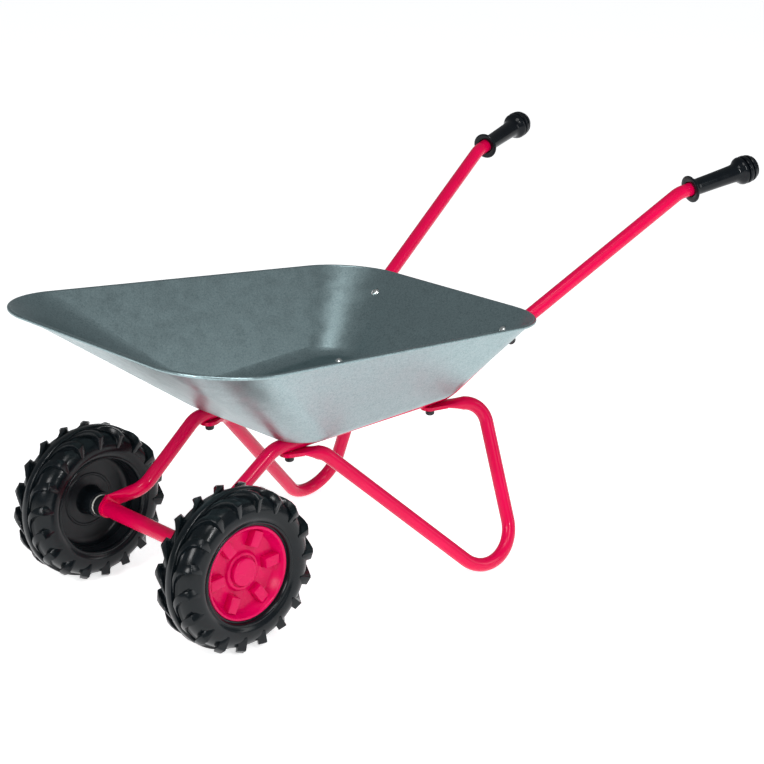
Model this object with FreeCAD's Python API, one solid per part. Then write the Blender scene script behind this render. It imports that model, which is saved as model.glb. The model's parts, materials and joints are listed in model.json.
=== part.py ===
import FreeCAD, Part
import os
from math import atan2, cos, sin, tan, radians
from FreeCAD import Vector

# Child's two-wheeled garden wheelbarrow, millimetres.
# +X runs forward to the wheels, +Y to the left, +Z up.
# The origin is on the ground, under the middle of the whole barrow.
# A "setback" is a distance behind the axle.

# ---- overall sizes -------------------------------------------------------
overall_length = 845.0        # front of the tyres to the ends of the grips
tyre_radius = 89.0            # over the lugs, and so the height of the axle
wheel_track = 264.0           # between the middle planes of the two tyres

# ---- tray ----------------------------------------------------------------
sheet = 1.0                   # galvanised steel
rim_front_reach = 88.0        # front of the rim, ahead of the axle
rim_front_width = 420.0
rim_front_height = 324.0
rim_rear_setback = 438.0
rim_rear_width = 350.0
rim_rear_height = 286.0
rim_front_corner_radius = 86.0
rim_rear_corner_radius = 76.0
rim_roll_radius = 2.2         # rolled bead along the rim
floor_front_setback = 110.0
floor_rear_setback = 350.0
floor_front_width = 224.0
floor_rear_width = 232.0
floor_front_height = 188.0    # underside of the floor
floor_rear_height = 201.0
floor_corner_radius = 42.0
floor_edge_radius = 26.0      # rounding between the floor and the walls, outside

# ---- frame tubes ---------------------------------------------------------
tube_diameter = 16.0
tube_wall = 1.5
frame_front_inset = 42.0      # tube axis inside the edge of the floor, at its front
frame_rear_inset = 36.0       # and at its rear
frame_wall_width = 234.0      # between the tube axes where they leave the rear wall
handle_below_rim = 17.5       # tube axis under the rear rim
front_bend_setback = 26.0     # lower bend of the front run, behind the axle
front_bend_rise = 28.0        # and above it
front_bend_width = 127.0      # between the tube axes at that bend
front_bend_radius = 24.0
floor_front_bend_radius = 28.0
floor_front_bend_lead = 6.0   # that bend's corner ahead of the floor's edge
handle_bend_radius = 60.0
grip_line_length = 114.0      # from the last bend to the end of the grip
grip_line_width = 337.0       # between the tube axes at the last bend
grip_line_height = 402.0
grip_rise_angle = 11.4
grip_splay_angle = 13.0
grip_bend_radius = 34.0
blade_spacing = 195.0         # between the middle planes of the flattened ends
flat_width = 22.0             # flattened tube
flat_thickness = 4.0

# ---- legs ----------------------------------------------------------------
foot_setback = 387.3          # where the two straight runs would meet
foot_half_width = 186.0
foot_depth = 48.5             # below the ground
leg_front_setback = 160.0     # upper front bend
leg_front_half_width = 87.7
leg_rear_setback = 391.2      # upper rear bend
leg_rear_half_width = 101.2
leg_drop = 6.0                # upper bends below the middle of the flattened ends
leg_front_bend_radius = 24.0
leg_rear_bend_radius = 28.0
leg_front_flat = 15.0         # flat from its bolt back to the taper
leg_rear_flat = 18.0

# ---- tray bolts ----------------------------------------------------------
front_bolt_setback = 124.0
rear_bolt_setback = 328.0
wall_bolt_below_rim = 32.0    # down the slope of the rear wall
bolt_diameter = 5.0
bolt_hole_diameter = 5.4
bolt_head_diameter = 10.0
bolt_head_height = 2.8
bolt_tail = 1.5               # thread beyond the nut
washer_diameter = 10.0
washer_thickness = 1.0
nut_across_flats = 8.0
nut_height = 4.0
nut_cap_diameter = 10.4
nut_cap_height = 7.0
nut_cap_end = 1.2

# ---- axle ----------------------------------------------------------------
axle_tube_diameter = 18.5
axle_tube_wall = 2.0
rod_diameter = 10.0
rod_running_clearance = 0.08
wheel_side_gap = 0.5
spacer_diameter = 24.0
push_nut_diameter = 20.0
push_nut_thickness = 2.0
rod_tail = 3.0                # rod beyond the push nut

# ---- wheels --------------------------------------------------------------
# Offsets run outward from the middle plane of the tyre.
tyre_width = 58.0
tread_radius = 84.0           # between the lugs
lug_count = 18
lug_width = 12.0
lug_sweep_angle = 9.0         # tip of a lug ahead of its root, round the axle
rib_width = 9.0               # smooth rib round the middle
shoulder_radius = 77.0
core_radius = 58.0            # barrel inside the tyre
core_end_offset = 21.0        # both ends of the barrel
disc_seat_radius = 52.0       # recess that holds the disc
dish_radius = 55.0            # mouth of the dish on the inboard side
web_thickness = 4.0
web_offset = 3.0              # inner face of the web
hub_boss_radius = 15.0
bush_radius = 7.5
bush_flange_radius = 12.0
bush_flange_thickness = 2.0
disc_face_offset = 21.7
disc_clearance = 0.2
disc_thickness = 2.5
disc_rim_width = 4.0
disc_floor_offset = 7.5
disc_floor_radius = 39.0      # a cone joins the floor to the rim
disc_hub_radius = 20.0
disc_hub_offset = 12.0
spoke_count = 6
spoke_first_angle = 5.0
spoke_width = 13.0
spoke_inner_radius = 25.0
spoke_offset = 16.5
cap_radius = 15.5
cap_height = 5.5
cap_wall = 2.0
cap_skirt_radius = 13.5
cap_skirt_wall = 1.6
cap_skirt_depth = 4.5

# ---- grips ---------------------------------------------------------------
grip_length = 98.0
grip_radius = 12.0
grip_flange_radius = 16.5
grip_flange_thickness = 3.0
grip_knob_radius = 17.0
grip_knob_length = 24.0
grip_groove_width = 3.0
grip_groove_depth = 1.6
grip_end_wall = 4.0

# ---- derived places ------------------------------------------------------
axle_x = overall_length / 2 - tyre_radius
axle_z = tyre_radius
tube_radius = tube_diameter / 2
Y = Vector(0, 1, 0)


def unit(v):
    return Vector(v).normalize()


def at(setback, y, z):
    return Vector(axle_x - setback, y, z)


def between(setback, first_setback, first, last_setback, last):
    """Value at a setback, on the line through two known ones."""
    return first + (last - first) * (setback - first_setback) / (last_setback - first_setback)


def floor_z(setback):
    """Height of the underside of the tray's floor."""
    return between(setback, floor_front_setback, floor_front_height, floor_rear_setback, floor_rear_height)


floor_along = unit(Vector(floor_front_setback - floor_rear_setback, 0, floor_rear_height - floor_front_height))
floor_down = unit(Vector(-floor_along.z, 0, floor_along.x))
wall_along = unit(Vector(floor_rear_setback - rim_rear_setback, 0, rim_rear_height - floor_rear_height))
wall_out = unit(Vector(-wall_along.z, 0, wall_along.x))
axle_centre = Vector(axle_x, 0, axle_z)
blade_centre = Vector(axle_x, blade_spacing / 2, axle_z)


# ---- shapes from sections and paths --------------------------------------
def rounded_path(points, radii):
    """Wire of straight runs through the points, joined by tangent arcs."""
    edges = []
    start = points[0]
    for i in range(1, len(points) - 1):
        before = unit(points[i - 1] - points[i])
        after = unit(points[i + 1] - points[i])
        half = before.getAngle(after) / 2
        radius = radii[i - 1]
        first = points[i] + before * (radius / tan(half))
        last = points[i] + after * (radius / tan(half))
        middle = points[i] + unit(before + after) * (radius / sin(half) - radius)
        edges.append(Part.LineSegment(start, first).toShape())
        edges.append(Part.Arc(first, middle, last).toShape())
        start = last
    edges.append(Part.LineSegment(start, points[-1]).toShape())
    return Part.Wire(edges)


def swept(points, radii, radius):
    profile = Part.Wire([Part.makeCircle(radius, points[0], points[1] - points[0])])
    return rounded_path(points, radii).makePipeShell([profile], True, True)


def hollow_tube(points, radii):
    return swept(points, radii, tube_radius).cut(swept(points, radii, tube_radius - tube_wall))


def section(centre, direction, across, half_width, half_thickness):
    """Tube section of two flats and two arcs, round when both halves are equal."""
    d = unit(direction)
    side = unit(across - d * across.dot(d))
    thick = d.cross(side)
    if half_width == half_thickness:
        s = side * (half_width * cos(radians(45)))
        t = thick * (half_width * sin(radians(45)))
        top = Part.Arc(centre + s + t, centre + thick * half_width, centre - s + t)
        bottom = Part.Arc(centre - s - t, centre - thick * half_width, centre + s - t)
    else:
        s = side * (half_width - half_thickness)
        t = thick * half_thickness
        top = Part.LineSegment(centre + s + t, centre - s + t)
        bottom = Part.LineSegment(centre - s - t, centre + s - t)
    left = Part.Arc(centre - s + t, centre - side * half_width, centre - s - t)
    right = Part.Arc(centre + s - t, centre + side * half_width, centre + s + t)
    return Part.Wire([edge.toShape() for edge in (top, left, bottom, right)])


def taper(tube_end, tube_direction, flat_start, flat_direction, across):
    """Passes from the round tube to its flattened end."""
    round_section = section(tube_end, tube_direction, across, tube_radius, tube_radius)
    flat_section = section(flat_start, flat_direction, across, flat_width / 2, flat_thickness / 2)
    return Part.makeLoft([round_section, flat_section], True, False)


def flat_end(centre, normal, along, length, hole_diameter):
    """Flattened end: a plate with a half-round tip about its hole."""
    n = unit(normal)
    a = unit(along)
    s = n.cross(a) * (flat_width / 2)
    base = centre - n * (flat_thickness / 2)
    back = base - a * length
    outline = Part.Wire([
        Part.LineSegment(back + s, base + s).toShape(),
        Part.Arc(base + s, base + a * (flat_width / 2), base - s).toShape(),
        Part.LineSegment(base - s, back - s).toShape(),
        Part.LineSegment(back - s, back + s).toShape(),
    ])
    plate = Part.Face(outline).extrude(n * flat_thickness)
    return plate.cut(drill(centre, n, hole_diameter))


def drill(centre, direction, diameter):
    reach = 4 * tube_diameter
    return Part.makeCylinder(diameter / 2, reach, centre - unit(direction) * (reach / 2), direction)


def ring(outer, inner, length, start, direction=Y):
    body = Part.makeCylinder(outer, length, start, direction)
    return body.cut(Part.makeCylinder(inner, length, start, direction))


def turned(points, origin, axis=Y, across=Vector(1, 0, 0)):
    """Solid of revolution from (distance along the axis, radius) points."""
    corners = [origin + axis * along + across * radius for along, radius in points]
    face = Part.Face(Part.makePolygon(corners + corners[:1]))
    return face.revolve(origin, axis, 360)


def right_hand(shape):
    return shape.mirror(Vector(0, 0, 0), Y)


# ---- tray ----------------------------------------------------------------
def skin_inset(skin, run, rise):
    """Sideways move of a wall whose face and edge both go in by a skin."""
    return skin * tan(atan2(rise, run) / 2)


def tray_outline(share, skin):
    """Closed outline of the walls, at a share of the way from floor to rim."""
    front_rise = rim_front_height - floor_front_height
    rear_rise = rim_rear_height - floor_rear_height

    def blend(at_floor, at_rim):
        return at_floor + share * (at_rim - at_floor)

    front_inset = skin_inset(skin, floor_front_setback + rim_front_reach, front_rise)
    rear_inset = skin_inset(skin, rim_rear_setback - floor_rear_setback, rear_rise)
    front_side_inset = skin_inset(skin, (rim_front_width - floor_front_width) / 2, front_rise)
    rear_side_inset = skin_inset(skin, (rim_rear_width - floor_rear_width) / 2, rear_rise)
    front_x = axle_x + blend(-floor_front_setback, rim_front_reach) - front_inset
    rear_x = axle_x - blend(floor_rear_setback, rim_rear_setback) + rear_inset
    front_y = blend(floor_front_width, rim_front_width) / 2 - front_side_inset
    rear_y = blend(floor_rear_width, rim_rear_width) / 2 - rear_side_inset
    front_z = blend(floor_front_height, rim_front_height) + skin
    rear_z = blend(floor_rear_height, rim_rear_height) + skin
    front_radius = blend(floor_corner_radius, rim_front_corner_radius) - skin
    rear_radius = blend(floor_corner_radius, rim_rear_corner_radius) - skin
    corners = [
        (Vector(front_x, -front_y, 0), front_radius),
        (Vector(front_x, front_y, 0), front_radius),
        (Vector(rear_x, rear_y, 0), rear_radius),
        (Vector(rear_x, -rear_y, 0), rear_radius),
    ]

    def lifted(point):
        z = rear_z + (front_z - rear_z) * (point.x - rear_x) / (front_x - rear_x)
        return Vector(point.x, point.y, z)

    arcs = []
    for i in range(4):
        corner, radius = corners[i]
        before = unit(corners[i - 1][0] - corner)
        after = unit(corners[(i + 1) % 4][0] - corner)
        half = before.getAngle(after) / 2
        first = corner + before * (radius / tan(half))
        middle = corner + unit(before + after) * (radius / sin(half) - radius)
        last = corner + after * (radius / tan(half))
        arcs.append([lifted(point) for point in (first, middle, last)])
    edges = []
    for i in range(4):
        first, middle, last = arcs[i]
        edges.append(Part.Arc(first, middle, last).toShape())
        edges.append(Part.LineSegment(last, arcs[(i + 1) % 4][0]).toShape())
    return Part.Wire(edges)


def tray_block(skin, top_share):
    """Everything inside a face of the sheet, with the floor's edge rounded."""
    block = Part.makeLoft([tray_outline(0, skin), tray_outline(top_share, skin)], True, True)
    floor = min(block.Faces, key=lambda face: face.CenterOfMass.z)
    return block.makeFillet(floor_edge_radius - skin, floor.Edges)


def tray_bolt_places():
    """Bolts on the left half: where each meets the tray's outside, and its direction."""
    places = []
    for setback in (front_bolt_setback, rear_bolt_setback):
        places.append((at(setback, frame_y(setback), floor_z(setback)), floor_down))
    rim = at(rim_rear_setback, 0, rim_rear_height)
    place = rim - wall_along * wall_bolt_below_rim
    corners = frame_corners()
    share = (place.x - corners[2].x) / (corners[3].x - corners[2].x)
    place.y = corners[2].y + share * (corners[3].y - corners[2].y)
    places.append((place, wall_out))
    return places


def make_tray():
    pan = tray_block(0, 1).cut(tray_block(sheet, 1.2))
    roll_path = tray_outline(1, sheet - rim_roll_radius)
    side = roll_path.Edges[1]
    profile = Part.Wire([Part.makeCircle(rim_roll_radius, side.valueAt(side.FirstParameter),
                                         side.tangentAt(side.FirstParameter))])
    closed_path = Part.Wire(roll_path.Edges[1:] + roll_path.Edges[:1])
    pan = pan.fuse(closed_path.makePipeShell([profile], True, True))
    for place, direction in tray_bolt_places():
        hole = drill(place, direction, bolt_hole_diameter)
        head_seat = Part.makeCylinder(
            bolt_head_diameter / 2, bolt_head_height, place - direction * sheet, -direction)
        for tool in (hole, head_seat):
            pan = pan.cut(tool).cut(right_hand(tool))
    return pan


# ---- frame tubes ---------------------------------------------------------
def frame_corners():
    """Corners of the left tube's axis, from the lower front bend to the grip's end."""
    lower_front = at(front_bend_setback, front_bend_width / 2, axle_z + front_bend_rise)
    bend_setback = floor_front_setback - floor_front_bend_lead
    floor_front = at(bend_setback, floor_front_width / 2 - frame_front_inset, floor_z(bend_setback))
    floor_front += floor_down * tube_radius
    turn = floor_down.getAngle(wall_out)
    floor_rear = at(floor_rear_setback, floor_rear_width / 2 - frame_rear_inset, floor_rear_height)
    floor_rear += unit(floor_down + wall_out) * (tube_radius / cos(turn / 2))
    climb = (rim_rear_height - handle_below_rim - floor_rear.z) / wall_along.z
    handle = floor_rear + wall_along * climb
    handle.y = frame_wall_width / 2
    rise = radians(grip_rise_angle)
    splay = radians(grip_splay_angle)
    grip_direction = Vector(-cos(rise) * cos(splay), cos(rise) * sin(splay), sin(rise))
    grip_bend = Vector(-overall_length / 2, grip_line_width / 2, grip_line_height)
    grip_bend.x -= grip_direction.x * grip_line_length
    grip_end = grip_bend + grip_direction * grip_line_length
    return [lower_front, floor_front, floor_rear, handle, grip_bend, grip_end]


def frame_y(setback):
    """Distance of the tube's axis from the middle, along the floor."""
    corners = frame_corners()
    share = (axle_x - setback - corners[1].x) / (corners[2].x - corners[1].x)
    return corners[1].y + share * (corners[2].y - corners[1].y)


def make_frame_tube():
    corners = frame_corners()
    blade_along = unit(Vector(axle_x, 0, axle_z) - Vector(corners[0].x, 0, corners[0].z))
    blade_back = blade_centre - blade_along * (flat_width / 2)
    outward = unit(blade_back - corners[0])
    turn = outward.getAngle(corners[0] - corners[1])
    tube_start = corners[0] + outward * (front_bend_radius * tan(turn / 2) + 2)
    grip_direction = unit(corners[-1] - corners[-2])
    tube_end = corners[-1] - grip_direction * (grip_end_wall + flat_thickness)
    radii = [
        front_bend_radius,
        floor_front_bend_radius,
        floor_edge_radius + tube_radius,
        handle_bend_radius,
        grip_bend_radius,
    ]
    tube = hollow_tube([tube_start] + corners[:-1] + [tube_end], radii)
    end = taper(tube_start, outward, blade_back, blade_along, blade_along.cross(Y))
    blade = flat_end(blade_centre, Y, blade_along, flat_width / 2, rod_diameter)
    tube = tube.fuse([end, blade])
    for place, direction in tray_bolt_places():
        tube = tube.cut(drill(place, direction, bolt_hole_diameter))
    return tube


# ---- legs ----------------------------------------------------------------
def leg_flat_point(setback, half_width):
    """Middle of the flattened leg, which lies under the frame tube."""
    point = at(setback, half_width, floor_z(setback))
    return point + floor_down * (tube_diameter + flat_thickness / 2)


def make_leg():
    foot = at(foot_setback, foot_half_width, -foot_depth)
    ends = []
    for bolt_setback, setback, half_width, flat in (
        (front_bolt_setback, leg_front_setback, leg_front_half_width, leg_front_flat),
        (rear_bolt_setback, leg_rear_setback, leg_rear_half_width, leg_rear_flat),
    ):
        bolt = leg_flat_point(bolt_setback, frame_y(bolt_setback))
        bend = leg_flat_point(setback, half_width)
        along = unit(bolt - bend)
        flat_start = bolt - along * flat
        bend.z -= leg_drop
        ends.append((bolt, bend, along, flat_start, flat))
    front_bend = ends[0][1]
    rear_bend = ends[1][1]
    bisector = unit(unit(front_bend - foot) + unit(rear_bend - foot))
    half = (front_bend - foot).getAngle(rear_bend - foot) / 2
    plane = unit((front_bend - foot).cross(rear_bend - foot))
    sag = (1 - plane.z ** 2) ** 0.5
    foot_radius = (foot_depth + tube_radius) / (bisector.z / sin(half) - sag)
    radii = [leg_front_bend_radius, foot_radius, leg_rear_bend_radius]
    tube_ends = []
    for (bolt, bend, along, flat_start, flat), radius in zip(ends, (radii[0], radii[2])):
        direction = unit(flat_start - bend)
        turn = direction.getAngle(bend - foot)
        tube_ends.append(bend + direction * (radius * tan(turn / 2) + 1))
    points = [tube_ends[0], front_bend, foot, rear_bend, tube_ends[1]]
    leg = hollow_tube(points, radii)
    for (bolt, bend, along, flat_start, flat), tube_end in zip(ends, tube_ends):
        across = floor_down.cross(along)
        leg = leg.fuse([
            taper(tube_end, flat_start - bend, flat_start, along, across),
            flat_end(bolt, floor_down, along, flat, bolt_hole_diameter),
        ])
    return leg


# ---- tray bolts ----------------------------------------------------------
def tray_fasteners():
    """Bolts, washers, nuts and nut caps of both sides, each a group of solids."""
    bolts = []
    washers = []
    nuts = []
    caps = []
    on_legs = (True, True, False)
    for (place, direction), on_leg in zip(tray_bolt_places(), on_legs):
        clamped = tube_diameter + (flat_thickness if on_leg else 0)
        under_head = place - direction * sheet
        washer_at = place + direction * clamped
        nut_at = washer_at + direction * washer_thickness
        tip = nut_at + direction * (nut_height + bolt_tail)
        shank_length = (tip - under_head).Length
        bolt = Part.makeCylinder(bolt_diameter / 2, shank_length, under_head, direction)
        bolt = bolt.fuse(dome(under_head, -direction, bolt_head_diameter / 2, bolt_head_height))
        washer = ring(washer_diameter / 2, bolt_diameter / 2, washer_thickness, washer_at, direction)
        bore = Part.makeCylinder(bolt_diameter / 2, nut_height, nut_at, direction)
        nut = hexagon(nut_at, direction).cut(bore)
        cap = Part.makeCylinder(nut_cap_diameter / 2, nut_cap_height, nut_at, direction)
        cap = cap.makeFillet(nut_cap_diameter / 4, [end_edge(cap, nut_at + direction * nut_cap_height)])
        inside = Part.makeCylinder(bolt_diameter / 2, nut_cap_height - nut_cap_end, nut_at, direction)
        cap = cap.cut([hexagon(nut_at, direction), inside])
        for group, piece in ((bolts, bolt), (washers, washer), (nuts, nut), (caps, cap)):
            group.append(piece)
            group.append(right_hand(piece))
    return [Part.makeCompound(group) for group in (bolts, washers, nuts, caps)]


def end_edge(solid, centre):
    return min(solid.Edges, key=lambda edge: edge.CenterOfMass.distanceToPoint(centre))


def dome(base, direction, radius, height):
    """Cap of a sphere on a flat base."""
    ball = (radius ** 2 + height ** 2) / (2 * height)
    sphere = Part.makeSphere(ball, base + direction * (height - ball))
    return sphere.common(Part.makeCylinder(radius, height, base, direction))


def hexagon(base, direction):
    corner_radius = nut_across_flats / 2 / cos(radians(30))
    side = direction.cross(Y)
    corners = []
    for i in range(7):
        turn = radians(60 * i)
        corners.append(base + side * (corner_radius * cos(turn)) + Y * (corner_radius * sin(turn)))
    return Part.Face(Part.makePolygon(corners)).extrude(direction * nut_height)


# ---- axle ----------------------------------------------------------------
wheel_plane = wheel_track / 2
blade_outer = blade_spacing / 2 + flat_thickness / 2
hub_inner = wheel_plane - core_end_offset
bush_inner = hub_inner - bush_flange_thickness
hub_outer = wheel_plane + web_offset + web_thickness
bush_outer = hub_outer + wheel_side_gap
push_nut_at = bush_outer + wheel_side_gap
rod_end = push_nut_at + push_nut_thickness + rod_tail


def on_axle(y):
    return Vector(axle_x, y, axle_z)


def make_axle_tube():
    length = blade_spacing - flat_thickness
    radius = axle_tube_diameter / 2
    return ring(radius, radius - axle_tube_wall, length, on_axle(-length / 2))


def make_axle_rod():
    return Part.makeCylinder(rod_diameter / 2, 2 * rod_end, on_axle(-rod_end), Y)


def make_spacer():
    length = bush_inner - wheel_side_gap - blade_outer
    return ring(spacer_diameter / 2, rod_diameter / 2, length, on_axle(blade_outer))


def make_push_nut():
    return ring(push_nut_diameter / 2, rod_diameter / 2, push_nut_thickness, on_axle(push_nut_at))


# ---- wheels --------------------------------------------------------------
def make_tyre():
    half = tyre_width / 2
    profile = [
        (-core_end_offset, core_radius),
        (-half + 1.5, shoulder_radius - 4),
        (-half + 1.5, shoulder_radius),
        (-half + 8, tread_radius - 1.5),
        (-rib_width / 2 - 1, tread_radius),
        (-rib_width / 2, tyre_radius - 1),
        (rib_width / 2, tyre_radius - 1),
        (rib_width / 2 + 1, tread_radius),
        (half - 8, tread_radius - 1.5),
        (half - 1.5, shoulder_radius),
        (half - 1.5, shoulder_radius - 4),
        (core_end_offset, core_radius),
    ]
    tyre = turned(profile, on_axle(wheel_plane))
    lug = make_lug()
    lugs = []
    pitch = 360 / lug_count
    for i in range(lug_count):
        for side in (0, 1):
            piece = lug.mirror(on_axle(wheel_plane), Y) if side else lug.copy()
            piece.rotate(on_axle(wheel_plane), Y, pitch * (i + side / 2))
            lugs.append(piece)
    return tyre.fuse(lugs)


def make_lug():
    """One outboard lug, swept back from the rib to the shoulder."""
    half = tyre_width / 2
    stations = (
        (rib_width / 2 - 1, tyre_radius - 0.8, tread_radius - 3, 0.7, 0.0),
        (half * 0.62, tyre_radius, tread_radius - 4, 1.0, lug_sweep_angle * 0.55),
        (half, shoulder_radius + 7, shoulder_radius - 5, 1.0, lug_sweep_angle),
    )
    outlines = []
    for offset, top, bottom, share, turn in stations:
        corners = []
        for radius, width in ((bottom, lug_width), (top, lug_width * 0.8)):
            reach = width * share / 2
            signs = (-1, 1) if radius == bottom else (1, -1)
            for sign in signs:
                corners.append(lug_point(offset, radius, turn, sign * reach))
        outlines.append(Part.makePolygon(corners + corners[:1]))
    return Part.makeLoft(outlines, True, True)


def lug_point(offset, radius, turn, reach):
    angle = radians(turn)
    outward = Vector(cos(angle), 0, sin(angle))
    sideways = Vector(-sin(angle), 0, cos(angle))
    return on_axle(wheel_plane + offset) + outward * radius + sideways * reach


def make_wheel_core():
    """Barrel, web and hub boss: a dish on the inboard side, the disc's seat on the other."""
    web_outer = web_offset + web_thickness
    profile = [
        (-core_end_offset, bush_radius),
        (-core_end_offset, hub_boss_radius),
        (web_offset, hub_boss_radius),
        (web_offset, disc_seat_radius),
        (-core_end_offset, dish_radius),
        (-core_end_offset, core_radius),
        (core_end_offset, core_radius),
        (core_end_offset, disc_seat_radius),
        (web_outer, disc_seat_radius),
        (web_outer, bush_radius),
    ]
    return turned(profile, on_axle(wheel_plane))


def make_bush():
    length = bush_outer - bush_inner
    bore = rod_diameter / 2 + rod_running_clearance
    sleeve = ring(bush_radius, bore, length, on_axle(bush_inner))
    return sleeve.fuse(ring(bush_flange_radius, bore, bush_flange_thickness, on_axle(bush_inner)))


def make_wheel_disc():
    outer = disc_seat_radius - disc_clearance
    floor_top = disc_floor_offset + disc_thickness
    profile = [
        (disc_floor_offset, cap_skirt_radius),
        (disc_floor_offset, outer),
        (disc_face_offset, outer),
        (disc_face_offset, outer - disc_rim_width / 2),
        (disc_face_offset - 1, outer - disc_rim_width),
        (floor_top, disc_floor_radius),
        (floor_top, disc_hub_radius + 1),
        (disc_hub_offset, disc_hub_radius),
        (disc_hub_offset, cap_skirt_radius),
    ]
    disc = turned(profile, on_axle(wheel_plane))
    spokes = []
    length = outer - disc_rim_width - spoke_inner_radius
    height = spoke_offset - disc_floor_offset
    corner = on_axle(wheel_plane + disc_floor_offset) + Vector(spoke_inner_radius, 0, -spoke_width / 2)
    for i in range(spoke_count):
        spoke = Part.makeBox(length, height, spoke_width, corner)
        spoke.rotate(on_axle(0), Y, -spoke_first_angle - 360 / spoke_count * i)
        spokes.append(spoke)
    return disc.fuse(spokes)


def make_hub_cap():
    skirt_inner = cap_skirt_radius - cap_skirt_wall
    top = disc_hub_offset + cap_height
    profile = [
        (disc_hub_offset - cap_skirt_depth, skirt_inner),
        (disc_hub_offset - cap_skirt_depth, cap_skirt_radius),
        (disc_hub_offset, cap_skirt_radius),
        (disc_hub_offset, cap_radius),
        (top - 1, cap_radius),
        (top, cap_radius - 1),
        (top, 0),
        (top - cap_wall, 0),
        (top - cap_wall, skirt_inner),
    ]
    return turned(profile, on_axle(wheel_plane))


# ---- grips ---------------------------------------------------------------
def make_grip():
    corners = frame_corners()
    direction = unit(corners[-1] - corners[-2])
    mouth = corners[-1] - direction * grip_length
    knob_start = grip_length - grip_knob_length
    profile = [
        (0, tube_radius),
        (0, grip_flange_radius),
        (grip_flange_thickness, grip_flange_radius),
        (grip_flange_thickness + 4, grip_radius),
        (knob_start - 6, grip_radius),
        (knob_start, grip_knob_radius - 1),
    ]
    ribs = 3
    rib_pitch = (grip_knob_length - grip_groove_width) / ribs
    for i in range(ribs - 1):
        groove = knob_start + rib_pitch * (i + 1)
        profile += [
            (groove, grip_knob_radius),
            (groove, grip_knob_radius - grip_groove_depth),
            (groove + grip_groove_width, grip_knob_radius - grip_groove_depth),
            (groove + grip_groove_width, grip_knob_radius),
        ]
    profile += [
        (grip_length - 3, grip_knob_radius - 1),
        (grip_length, grip_knob_radius - 6),
        (grip_length, 0),
        (grip_length - grip_end_wall, 0),
        (grip_length - grip_end_wall, tube_radius),
    ]
    across = direction.cross(Y).normalize()
    return turned(profile, mouth, direction, across)


# ---- write one file per piece --------------------------------------------
bolts, washers, nuts, nut_caps = tray_fasteners()
pieces = {
    "tray": make_tray(),
    "axle_tube": make_axle_tube(),
    "axle_rod": make_axle_rod(),
    "tray_bolts": bolts,
    "bolt_washers": washers,
    "bolt_nuts": nuts,
    "nut_caps": nut_caps,
}
for name, make in (
    ("frame_tube", make_frame_tube),
    ("leg", make_leg),
    ("grip", make_grip),
    ("wheel_spacer", make_spacer),
    ("push_nut", make_push_nut),
    ("tyre", make_tyre),
    ("wheel_core", make_wheel_core),
    ("hub_bush", make_bush),
    ("wheel_disc", make_wheel_disc),
    ("hub_cap", make_hub_cap),
):
    left = make()
    pieces["left_" + name] = left
    pieces["right_" + name] = right_hand(left)

os.makedirs("parts", exist_ok=True)
for name, shape in pieces.items():
    shape.exportStep("parts/" + name + ".step")
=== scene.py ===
import json
from math import cos, radians, sin

import bmesh
import bpy
from mathutils import Matrix, Vector


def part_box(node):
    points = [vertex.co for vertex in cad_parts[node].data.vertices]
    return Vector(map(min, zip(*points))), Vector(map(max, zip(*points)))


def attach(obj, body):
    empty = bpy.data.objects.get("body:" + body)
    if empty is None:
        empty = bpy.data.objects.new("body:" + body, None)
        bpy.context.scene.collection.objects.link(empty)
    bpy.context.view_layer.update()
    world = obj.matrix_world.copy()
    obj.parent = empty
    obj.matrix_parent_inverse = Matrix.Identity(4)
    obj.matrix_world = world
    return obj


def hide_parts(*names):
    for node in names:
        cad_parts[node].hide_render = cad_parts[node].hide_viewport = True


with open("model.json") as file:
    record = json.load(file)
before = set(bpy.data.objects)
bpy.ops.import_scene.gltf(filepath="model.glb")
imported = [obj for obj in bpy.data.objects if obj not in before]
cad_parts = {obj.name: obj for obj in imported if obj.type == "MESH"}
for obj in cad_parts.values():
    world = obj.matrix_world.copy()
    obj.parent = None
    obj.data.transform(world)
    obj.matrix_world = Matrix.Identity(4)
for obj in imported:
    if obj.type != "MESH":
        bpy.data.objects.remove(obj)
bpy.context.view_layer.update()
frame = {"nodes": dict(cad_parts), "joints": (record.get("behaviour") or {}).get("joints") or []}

# Child's garden wheelbarrow, in metres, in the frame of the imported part:
# +X forward to the wheels, +Y to the left, +Z up, the ground at z = 0.

MM = 0.001
AXLE = (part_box("axle_rod")[0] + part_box("axle_rod")[1]) / 2
WHEEL_PLANE = next(j["pos_m"][1] for j in frame["joints"] if j["child"] == "left_wheel")
SIDES = ("left", "right")
MERGE_DISTANCE = 0.00001
SQUARE_ON = 0.9               # a face's normal has at least this much of the way it faces

# ---- camera --------------------------------------------------------------
VIEW_AZIMUTH = radians(137.49)
VIEW_ELEVATION = radians(17.63)
VIEW_ROLL = radians(0.52)
VIEW_DISTANCE = 2.2826        # from the ground under the axle, back along the line of sight
VIEW_RIGHT = 0.2429           # then to the right
VIEW_UP = 0.2485              # and up, square to it
VIEW_LENS = 97.6


def add_camera():
    flat = cos(VIEW_ELEVATION)
    back = Vector((sin(VIEW_AZIMUTH) * flat, -cos(VIEW_AZIMUTH) * flat, sin(VIEW_ELEVATION)))
    level = Vector((0, 0, 1)).cross(back).normalized()
    turn = Matrix.Rotation(VIEW_ROLL, 3, back)
    right = turn @ level
    up = turn @ back.cross(level)
    data = bpy.data.cameras.new("camera")
    data.lens = VIEW_LENS
    data.clip_end = 100
    camera = bpy.data.objects.new("camera", data)
    bpy.context.scene.collection.objects.link(camera)
    place = Vector((AXLE.x, 0, 0)) + right * VIEW_RIGHT + up * VIEW_UP + back * VIEW_DISTANCE
    camera.matrix_world = Matrix.Translation(place) @ Matrix((right, up, back)).transposed().to_4x4()
    bpy.context.scene.camera = camera


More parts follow.
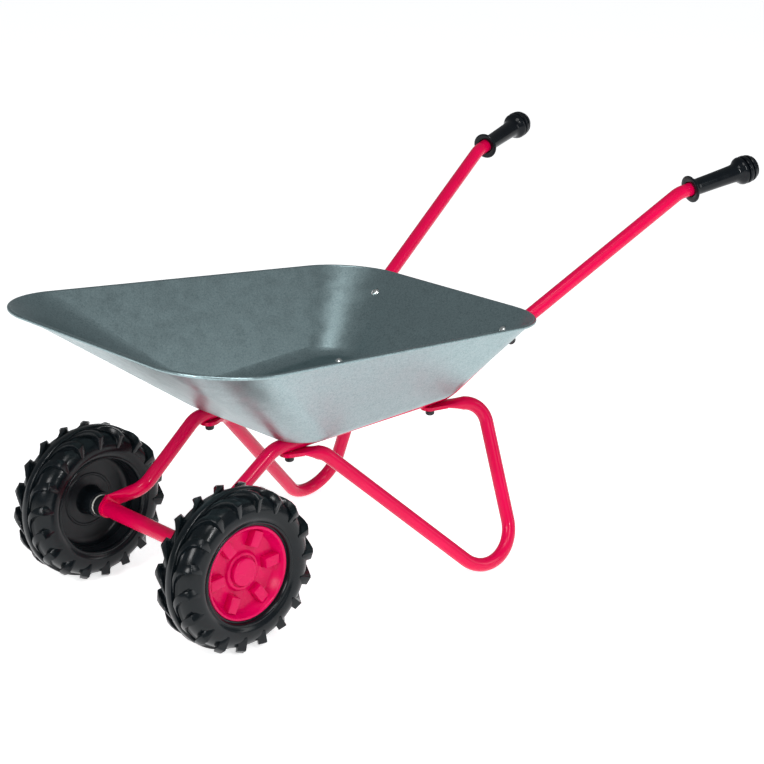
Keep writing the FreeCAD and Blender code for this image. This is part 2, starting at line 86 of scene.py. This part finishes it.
# ---- modelling by hand ---------------------------------------------------
def deselect_all():
    if bpy.context.object and bpy.context.object.mode != "OBJECT":
        bpy.ops.object.mode_set(mode="OBJECT")
    bpy.ops.object.select_all(action="DESELECT")


def select_only(*objects):
    deselect_all()
    for item in objects:
        item.select_set(True)
    bpy.context.view_layer.objects.active = objects[0]


def edit(mode="VERT"):
    bpy.ops.object.mode_set(mode="EDIT")
    bpy.ops.mesh.select_mode(type=mode)


def leave_edit():
    bpy.ops.object.mode_set(mode="OBJECT")


def pick_faces(test):
    """Selects, in edit mode, the faces whose normal passes a test."""
    bpy.ops.mesh.select_all(action="DESELECT")
    item = bpy.context.object
    mesh = bmesh.from_edit_mesh(item.data)
    for face in mesh.faces:
        face.select_set(test(face.normal))
    mesh.select_flush_mode()
    bmesh.update_edit_mesh(item.data)


def apply_place(item):
    """Moves an object's place into its mesh, so that the object sits at the origin."""
    select_only(item)
    bpy.ops.object.transform_apply(location=True, rotation=True, scale=True)


def face_outwards(item):
    """Merges doubled points and turns every face to the outside."""
    select_only(item)
    edit()
    bpy.ops.mesh.select_all(action="SELECT")
    bpy.ops.mesh.remove_doubles(threshold=MERGE_DISTANCE)
    bpy.ops.mesh.normals_make_consistent(inside=False)
    leave_edit()


def smooth(item, angle):
    """Smooths the faces that meet at less than an angle in degrees."""
    select_only(item)
    bpy.ops.object.shade_smooth_by_angle(angle=radians(angle))


def soften(item, width, segments, angle):
    """Rounds the edges sharper than an angle in degrees and smooths the rest."""
    select_only(item)
    bevel = item.modifiers.new("round", "BEVEL")
    bevel.width = width
    bevel.segments = segments
    bevel.limit_method = "ANGLE"
    bevel.angle_limit = radians(angle)
    bevel.use_clamp_overlap = True
    bpy.ops.object.modifier_apply(modifier="round")
    smooth(item, 38)


def copy_of(item, name):
    twin = item.copy()
    twin.data = item.data.copy()
    twin.name = name
    bpy.context.scene.collection.objects.link(twin)
    return twin


def mirrored(item, name, axis=(0, 1, 0)):
    """A mirror image across the plane through the origin that faces along an axis."""
    twin = copy_of(item, name)
    twin.matrix_world = Matrix.Scale(-1, 4, Vector(axis)) @ twin.matrix_world
    apply_place(twin)
    face_outwards(twin)
    return twin


def joined(name, *items):
    select_only(*items)
    bpy.ops.object.join()
    whole = bpy.context.object
    whole.name = name
    return whole


def turned(name, profile, segments=96, closed=False):
    """Turned piece about Z: a circle extruded from ring to ring.

    The profile is (distance along the axis, radius) points, in millimetres.
    """
    deselect_all()
    along, radius = profile[0]
    start = (0, 0, along * MM)
    bpy.ops.mesh.primitive_circle_add(vertices=segments, radius=radius * MM, location=start)
    item = bpy.context.object
    item.name = name
    edit()
    bpy.ops.mesh.select_all(action="SELECT")
    for next_along, next_radius in profile[1:]:
        bpy.ops.mesh.extrude_edges_move()
        bpy.ops.transform.translate(value=(0, 0, (next_along - along) * MM))
        share = next_radius / radius
        bpy.ops.transform.resize(value=(share, share, 1), center_override=(0, 0, next_along * MM))
        along, radius = next_along, next_radius
    if not closed:
        bpy.ops.mesh.select_all(action="SELECT")
        bpy.ops.mesh.fill_holes(sides=0)
    leave_edit()
    apply_place(item)
    face_outwards(item)
    return item


def on_wheel(item):
    """Stands a turned piece on the left wheel: its axis along +Y, from the wheel's middle plane."""
    item.matrix_world = (
        Matrix.Translation(Vector((AXLE.x, WHEEL_PLANE, AXLE.z)))
        @ Matrix.Rotation(radians(-90), 4, "X")
        @ item.matrix_world
    )
    apply_place(item)
    return item


# ---- materials -----------------------------------------------------------
NOISE_ROUGHNESS = 0.55


class Finish:
    """A procedural material, built up from patterns on the piece's own coordinates."""

    def __init__(self, name, **sockets):
        self.material = bpy.data.materials.new(name)
        self.material.use_nodes = True
        self.nodes = self.material.node_tree.nodes
        self.links = self.material.node_tree.links
        self.shader = self.nodes["Principled BSDF"]
        self.place = self.nodes.new("ShaderNodeTexCoord").outputs["Object"]
        for socket, value in sockets.items():
            self.shader.inputs[socket.replace("_", " ")].default_value = value

    def noise(self, scale, detail=3.0):
        node = self.nodes.new("ShaderNodeTexNoise")
        node.inputs["Scale"].default_value = scale
        node.inputs["Detail"].default_value = detail
        node.inputs["Roughness"].default_value = NOISE_ROUGHNESS
        self.links.new(self.place, node.inputs["Vector"])
        return node.outputs["Fac"]

    def cells(self, scale, output="Color"):
        node = self.nodes.new("ShaderNodeTexVoronoi")
        node.inputs["Scale"].default_value = scale
        self.links.new(self.place, node.inputs["Vector"])
        return node.outputs[output]

    def ranged(self, source, low, high, start=0.3, end=0.7):
        """Spreads a pattern's values from start to end over low to high."""
        node = self.nodes.new("ShaderNodeMapRange")
        node.inputs["From Min"].default_value = start
        node.inputs["From Max"].default_value = end
        node.inputs["To Min"].default_value = low
        node.inputs["To Max"].default_value = high
        self.links.new(source, node.inputs["Value"])
        return node.outputs["Result"]

    def mixed(self, share, first, second):
        """Blends two colours, each a value or another pattern."""
        node = self.nodes.new("ShaderNodeMix")
        node.data_type = "RGBA"
        for socket, value in (("Factor", share), ("A", first), ("B", second)):
            kind = "NodeSocketFloatFactor" if socket == "Factor" else "NodeSocketColor"
            target = next(i for i in node.inputs if i.name == socket and i.bl_idname == kind)
            if isinstance(value, bpy.types.NodeSocket):
                self.links.new(value, target)
            else:
                target.default_value = value
        return next(o for o in node.outputs if o.bl_idname == "NodeSocketColor")

    def colour(self, source):
        self.links.new(source, self.shader.inputs["Base Color"])

    def rough(self, source):
        self.links.new(source, self.shader.inputs["Roughness"])

    def bump(self, source, strength, distance):
        """Adds relief on top of any that is there already."""
        node = self.nodes.new("ShaderNodeBump")
        node.inputs["Strength"].default_value = strength
        node.inputs["Distance"].default_value = distance
        self.links.new(source, node.inputs["Height"])
        normal = self.shader.inputs["Normal"]
        if normal.links:
            self.links.new(normal.links[0].from_socket, node.inputs["Normal"])
        self.links.new(node.outputs["Normal"], normal)


def galvanised():
    """Zinc-coated sheet: small spangles, a fine grain and slightly uneven gloss."""
    finish = Finish("galvanised_sheet", Metallic=1.0, Specular_IOR_Level=0.5)
    spangle = finish.ranged(finish.cells(330.0), 0.0, 1.0, 0.1, 0.9)
    grain = finish.ranged(finish.noise(560.0, 2.0), 0.0, 1.0, 0.34, 0.66)
    shade = finish.mixed(spangle, (0.215, 0.290, 0.305, 1), (0.265, 0.355, 0.370, 1))
    shade = finish.mixed(grain, shade, (0.325, 0.425, 0.440, 1))
    finish.colour(shade)
    finish.rough(finish.ranged(finish.noise(60.0, 4.0), 0.30, 0.40))
    finish.bump(finish.noise(900.0, 2.0), 0.12, 0.0002)
    finish.bump(finish.cells(330.0, "Distance"), 0.05, 0.0002)
    return finish.material


def red_enamel():
    """Glossy stove enamel, with a trace of orange peel."""
    finish = Finish(
        "red_enamel",
        Specular_IOR_Level=0.16,
        Coat_Weight=0.35,
        Coat_Roughness=0.04,
        Coat_IOR=1.25,
    )
    cloud = finish.ranged(finish.noise(25.0), 0, 1)
    finish.colour(finish.mixed(cloud, (0.60, 0.0, 0.052, 1), (0.68, 0.0, 0.066, 1)))
    finish.rough(finish.ranged(finish.noise(80.0), 0.20, 0.27))
    finish.bump(finish.noise(350.0, 1.0), 0.06, 0.0003)
    return finish.material


def bright_zinc():
    """Bright plating on the rod and the fasteners."""
    finish = Finish("bright_zinc", Metallic=1.0)
    cloud = finish.ranged(finish.noise(300.0), 0, 1)
    finish.colour(finish.mixed(cloud, (0.62, 0.64, 0.63, 1), (0.80, 0.82, 0.80, 1)))
    finish.rough(finish.ranged(finish.noise(500.0), 0.18, 0.32))
    finish.bump(finish.noise(900.0), 0.08, 0.0001)
    return finish.material


def moulded(name, dark, light, low, high, shine=0.3, relief=0.12):
    """Moulded plastic with a fine grain from its tool; low and high are its roughness."""
    finish = Finish(name, Specular_IOR_Level=shine)
    finish.colour(finish.mixed(finish.ranged(finish.noise(40.0, 4.0), 0, 1), dark, light))
    finish.rough(finish.ranged(finish.noise(120.0, 4.0), low, high))
    finish.bump(finish.noise(1100.0, 2.0), relief, 0.0002)
    return finish.material


def floor_material():
    """Plain pale floor that glows a little, so that it stays white to its far edge."""
    finish = Finish(
        "studio_floor", Roughness=0.7, Emission_Color=(1, 1, 1, 1), Emission_Strength=0.74)
    cloud = finish.ranged(finish.noise(3.0), 0, 1)
    finish.colour(finish.mixed(cloud, (0.90, 0.90, 0.90, 1), (0.92, 0.92, 0.92, 1)))
    return finish.material


# ---- studio --------------------------------------------------------------
FLOOR_SIZE = 60
SKY_COLOUR = (0.93, 0.97, 1.0, 1)
SKY_STRENGTH = 0.26
LIGHT_TARGET = (0.05, 0, 0.25)
# Each soft box: its place, width, height and power.
SOFTBOXES = (
    ("top_softbox", (0.9, 0.9, 2.5), 1.0, 1.0, 16),
    ("front_softbox", (2.6, 0.6, 1.3), 0.8, 0.8, 26),
    ("rear_softbox", (-1.6, 2.2, 1.2), 0.5, 1.6, 10),
    ("strip_light", (0.9, 2.5, 1.7), 0.06, 1.5, 34),
)


def add_floor():
    deselect_all()
    bpy.ops.mesh.primitive_plane_add(size=FLOOR_SIZE, location=(0, 0, 0))
    floor = bpy.context.object
    floor.name = "studio_floor"
    floor.data.materials.append(floor_material())


def add_softbox(name, place, width, height, power):
    data = bpy.data.lights.new(name, "AREA")
    data.shape = "RECTANGLE"
    data.size = width
    data.size_y = height
    data.energy = power
    lamp = bpy.data.objects.new(name, data)
    bpy.context.scene.collection.objects.link(lamp)
    lamp.location = place
    aim = Vector(LIGHT_TARGET) - Vector(place)
    lamp.rotation_euler = aim.to_track_quat("-Z", "Y").to_euler()


def add_studio():
    add_floor()
    for name, place, width, height, power in SOFTBOXES:
        add_softbox(name, place, width, height, power)
    world = bpy.data.worlds.new("studio")
    bpy.context.scene.world = world
    world.use_nodes = True
    background = world.node_tree.nodes["Background"]
    background.inputs["Color"].default_value = SKY_COLOUR
    background.inputs["Strength"].default_value = SKY_STRENGTH
    bpy.context.scene.view_settings.view_transform = "Standard"


# ---- pieces --------------------------------------------------------------
def finish_node(node, material):
    """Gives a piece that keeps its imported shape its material."""
    item = frame["nodes"][node]
    for entry in item.material_slots:
        entry.material = material


def ride_on(item, body, material, slot, *nodes):
    """Gives a finished piece its material and its body, and hides the imported nodes that it stands
    for.
    """
    item.data.materials.clear()
    item.data.materials.append(material)
    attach(item, body)
    if nodes:
        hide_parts(*nodes)


def arrayed(item, count, first, step):
    """Copies about Z, each turned on from the last."""
    pieces = []
    for i in range(count):
        piece = copy_of(item, item.name + "_copy")
        piece.matrix_world = Matrix.Rotation(radians(first + step * i), 4, "Z") @ item.matrix_world
        apply_place(piece)
        pieces.append(piece)
    return pieces


# Each step of a lug, from its root at the rib out to the shoulder, in millimetres:
# direction round to outward in degrees, top and bottom radius, width.
LUG_STEP = 6.8
LUG_START = (5.5, 85.4, 80.0, 2.2)     # offset from the middle plane, top, bottom, width
LUG_STATIONS = (
    (8, 86.6, 79.0, 3.2),
    (16, 87.8, 78.0, 4.3),
    (27, 88.7, 77.0, 5.6),
    (39, 88.6, 75.0, 7.2),
    (53, 87.0, 72.0, 8.8),
    (70, 82.4, 67.5, 10.2),
)
LUG_START_LENGTH = 2.0
LUG_COUNT = 18                         # on each side of the rib


def model_lug():
    """One outboard lug: a bar extruded station by station, the wheel turned under it each time."""
    offset, top, bottom, width = LUG_START
    deselect_all()
    middle = (top + bottom) / 2
    start = (middle * MM, -LUG_START_LENGTH / 2 * MM, offset * MM)
    bpy.ops.mesh.primitive_cube_add(size=1, location=start)
    lug = bpy.context.object
    lug.name = "lug"
    lug.scale = ((top - bottom) * MM, LUG_START_LENGTH * MM, width * MM)
    apply_place(lug)
    edit("FACE")
    pick_faces(lambda normal: normal.y > SQUARE_ON)
    heading = 0
    for next_heading, next_top, next_bottom, next_width in LUG_STATIONS:
        next_middle = (next_top + next_bottom) / 2
        rise = LUG_STEP * sin(radians(next_heading))
        turn = LUG_STEP * cos(radians(next_heading)) / next_top
        offset += rise
        centre = (next_middle * MM, 0, offset * MM)
        share = (next_top - next_bottom) / (top - bottom)
        spread = next_width / width
        bpy.ops.mesh.extrude_region_move()
        bpy.ops.transform.translate(value=((next_middle - middle) * MM, 0, rise * MM))
        bpy.ops.transform.resize(value=(share, spread, spread), center_override=centre)
        bpy.ops.transform.rotate(
            value=radians(heading - next_heading), orient_axis="X", center_override=centre)
        bpy.ops.transform.rotate(value=-turn, orient_axis="Z", center_override=(0, 0, 0))
        leave_edit()
        lug.matrix_world = Matrix.Rotation(-turn, 4, "Z")
        apply_place(lug)
        edit("FACE")
        heading, middle, width = next_heading, next_middle, next_width
        top, bottom = next_top, next_bottom
    leave_edit()
    face_outwards(lug)
    soften(lug, 0.9 * MM, segments=2, angle=40)
    return lug


# Half of the tyre's section, from the middle of its rib: (offset, radius) in millimetres.
TYRE_HALF = (
    (0, 88.3), (3.4, 88.3), (4.3, 87.7), (4.7, 86.8), (4.9, 84.2), (5.5, 83.2), (7.4, 83.0),
    (8.0, 83.9), (8.5, 84.6), (9.2, 84.6), (9.8, 83.9), (13, 83.5), (17, 82.3), (20.8, 80.2),
    (24, 77.3), (26.3, 73.9), (27.6, 70.2), (28.1, 66.4), (27.7, 62.8), (26.6, 60.0),
    (25.3, 58.6), (25.1, 57.6), (25.7, 57.0), (25.9, 56.0), (25.2, 55.0), (23.6, 54.2), (21.4, 53.6),
)


def model_tyre():
    """A hollow carcass with a rib round its middle and a row of lugs on each side."""
    outboard = list(TYRE_HALF)
    inboard = [(-offset, radius) for offset, radius in TYRE_HALF[1:]]
    profile = outboard + [(21.2, 58.0), (-21.2, 58.0)] + inboard[::-1] + [TYRE_HALF[0]]
    carcass = turned("tyre", profile, segments=128, closed=True)
    smooth(carcass, 50)
    lug = model_lug()
    outer = mirrored(lug, "outer_lug")
    inner = mirrored(outer, "inner_lug", axis=(0, 0, 1))
    pitch = 360 / LUG_COUNT
    lugs = arrayed(outer, LUG_COUNT, 0, pitch) + arrayed(inner, LUG_COUNT, pitch / 2, pitch)
    for spare in (lug, outer, inner):
        bpy.data.objects.remove(spare)
    return on_wheel(joined("tyre", carcass, *lugs))


# Closed section of the wheel's core, with its web and hub boss: (offset, radius).
CORE_SECTION = (
    (-21.0, 7.6), (-21.0, 13.2), (-20.6, 14.3), (-19.6, 14.9), (-8, 15.4), (0, 16.2), (2.0, 17.6),
    (2.9, 20.5), (3.0, 28.0), (2.2, 29.0), (2.2, 30.5), (3.0, 31.5), (3.0, 46.0), (2.4, 49.4),
    (0.6, 51.6), (-2.0, 52.6), (-8, 53.2), (-9, 52.7), (-10.2, 53.3), (-18, 54.2), (-20.2, 54.9),
    (-21.0, 56.0), (-21.0, 57.9), (21.0, 57.9), (21.0, 52.3), (20.4, 52.0), (7.0, 51.9), (7.0, 7.6),
    (-21.0, 7.6),
)


def model_core():
    core = turned("wheel_core", CORE_SECTION, closed=True)
    smooth(core, 35)
    return on_wheel(core)


# Closed section of the dished wheel disc: (offset, radius).
DISC_SECTION = (
    (7.6, 13.5), (7.6, 51.6), (21.0, 51.6), (21.6, 51.2), (21.9, 50.2), (21.7, 49.2), (21.0, 48.5),
    (19.8, 48.0), (18.6, 47.5), (10.6, 43.4), (9.4, 42.2), (9.0, 40.4), (9.0, 23.6), (9.3, 22.4),
    (10.0, 21.4), (12.2, 20.6), (12.9, 20.1), (13.2, 19.2), (13.1, 17.4), (12.2, 16.6), (12.1, 13.5),
    (7.6, 13.5),
)
SPOKE_COUNT = 6
SPOKE_FIRST = 5.0                      # degrees round from the front
SPOKE_SIZE = (20.0, 13.0, 9.6)         # along, across, high
SPOKE_MIDDLE = 36.6                    # from the wheel's axis
SPOKE_FOOT = 8.2                       # from the wheel's middle plane
SPOKE_DRAFT = 0.88                     # the top's size as a share of the foot's


def model_disc():
    """The dished disc with its raised blocks."""
    disc = turned("wheel_disc", DISC_SECTION, closed=True)
    smooth(disc, 38)
    deselect_all()
    foot = (SPOKE_MIDDLE * MM, 0, (SPOKE_FOOT + SPOKE_SIZE[2] / 2) * MM)
    bpy.ops.mesh.primitive_cube_add(size=1, location=foot)
    spoke = bpy.context.object
    spoke.name = "spoke"
    spoke.scale = [size * MM for size in SPOKE_SIZE]
    apply_place(spoke)
    edit("FACE")
    pick_faces(lambda normal: normal.z > SQUARE_ON)
    top = (SPOKE_MIDDLE * MM, 0, (SPOKE_FOOT + SPOKE_SIZE[2]) * MM)
    bpy.ops.transform.resize(value=(SPOKE_DRAFT, SPOKE_DRAFT, 1), center_override=top)
    leave_edit()
    soften(spoke, 0.7 * MM, segments=3, angle=12)
    spokes = arrayed(spoke, SPOKE_COUNT, SPOKE_FIRST, 360 / SPOKE_COUNT)
    bpy.data.objects.remove(spoke)
    return on_wheel(joined("wheel_disc", disc, *spokes))


# Outside of the hub cap, from the end of its skirt to the middle of its face: (offset, radius).
CAP_SECTION = (
    (7.6, 11.9), (7.6, 13.4), (12.2, 13.4), (12.2, 15.1), (12.6, 15.5), (16.3, 15.3), (17.0, 14.9),
    (17.4, 14.2), (17.5, 13.0), (17.6, 6.0), (17.65, 0.6),
)


def model_hub_cap():
    cap = turned("hub_cap", CAP_SECTION, segments=72)
    smooth(cap, 35)
    return on_wheel(cap)


GRIP_END = Vector((-0.4225, 0.19362, 0.42446))         # middle of the left grip's closed end
GRIP_AXIS = Vector((-0.95514, 0.22051, 0.19766))       # the way that end faces
GRIP_LENGTH = 98.0
# Outside of the grip, from its mouth to its closed end: (distance, radius).
GRIP_SECTION = (
    (4.5, 8.3), (0.4, 9.6), (0.0, 10.6), (0.0, 15.6), (0.5, 16.3), (1.5, 16.5), (2.5, 16.2),
    (3.1, 15.2), (3.5, 13.0), (5.0, 11.2), (7.4, 10.2), (12, 9.9), (30, 10.1), (50, 10.5),
    (64, 10.9), (68, 11.6), (70.6, 13.0), (72.6, 14.8), (74.6, 16.2), (76.6, 16.9), (78.0, 16.9),
    (78.6, 16.2), (78.9, 14.6), (80.4, 14.4), (80.8, 16.4), (81.6, 17.0), (84.6, 17.0), (85.4, 16.5),
    (85.8, 14.4), (87.3, 14.1), (87.7, 16.0), (88.5, 16.4), (91.0, 15.8), (91.8, 15.2), (92.1, 13.2),
    (93.3, 12.7), (93.7, 13.8), (94.6, 13.7), (96.2, 12.0), (97.4, 9.4), (97.9, 6.0), (98.0, 3.0),
    (98.0, 0.5),
)


def model_grip():
    grip = turned("grip", GRIP_SECTION, segments=72)
    smooth(grip, 40)
    mouth = GRIP_END - GRIP_AXIS.normalized() * GRIP_LENGTH * MM
    turn = GRIP_AXIS.to_track_quat("Z", "Y").to_matrix().to_4x4()
    grip.matrix_world = Matrix.Translation(mouth) @ turn @ grip.matrix_world
    apply_place(grip)
    return grip


add_camera()
add_studio()

GALVANISED = galvanised()
RED = red_enamel()
ZINC = bright_zinc()
TYRE_BLACK = moulded(
    "tyre_black", (0.002, 0.004, 0.005, 1), (0.004, 0.006, 0.008, 1), 0.16, 0.26, shine=0.24)
CORE_BLACK = moulded(
    "core_black", (0.003, 0.005, 0.007, 1), (0.006, 0.008, 0.010, 1), 0.30, 0.42)
HUB_RED = moulded(
    "hub_red", (0.55, 0.0, 0.068, 1), (0.63, 0.0, 0.086, 1), 0.22, 0.30, shine=0.16, relief=0.05)
GRIP_BLACK = moulded(
    "grip_black", (0.002, 0.003, 0.005, 1), (0.004, 0.006, 0.008, 1), 0.14, 0.22, shine=0.2)
CAP_BLACK = moulded(
    "cap_black", (0.010, 0.010, 0.011, 1), (0.016, 0.016, 0.018, 1), 0.35, 0.45)
NYLON = moulded(
    "bush_nylon", (0.62, 0.60, 0.55, 1), (0.70, 0.68, 0.62, 1), 0.40, 0.50)

finish_node("tray", GALVANISED)
finish_node("axle_tube", RED)
for node in ("axle_rod", "tray_bolts", "bolt_washers", "bolt_nuts"):
    finish_node(node, ZINC)
finish_node("nut_caps", CAP_BLACK)
for side in SIDES:
    finish_node(side + "_frame_tube", RED)
    finish_node(side + "_leg", RED)
    finish_node(side + "_wheel_spacer", CAP_BLACK)
    finish_node(side + "_push_nut", ZINC)
    finish_node(side + "_hub_bush", NYLON)

WHEEL_PIECES = (
    (model_tyre, "tyre", TYRE_BLACK, "tyre_black"),
    (model_core, "wheel_core", CORE_BLACK, "core_black"),
    (model_disc, "wheel_disc", HUB_RED, "hub_red"),
    (model_hub_cap, "hub_cap", HUB_RED, "hub_red"),
)
for model, node, material, slot in WHEEL_PIECES:
    left = model()
    left.name = "left_" + node + "_piece"
    right = mirrored(left, "right_" + node + "_piece")
    ride_on(left, "left_wheel", material, slot, "left_" + node)
    ride_on(right, "right_wheel", material, slot, "right_" + node)

left = model_grip()
left.name = "left_handle_grip"
right = mirrored(left, "right_handle_grip")
ride_on(left, "chassis", GRIP_BLACK, "grip_black", "left_grip")
ride_on(right, "chassis", GRIP_BLACK, "grip_black", "right_grip")
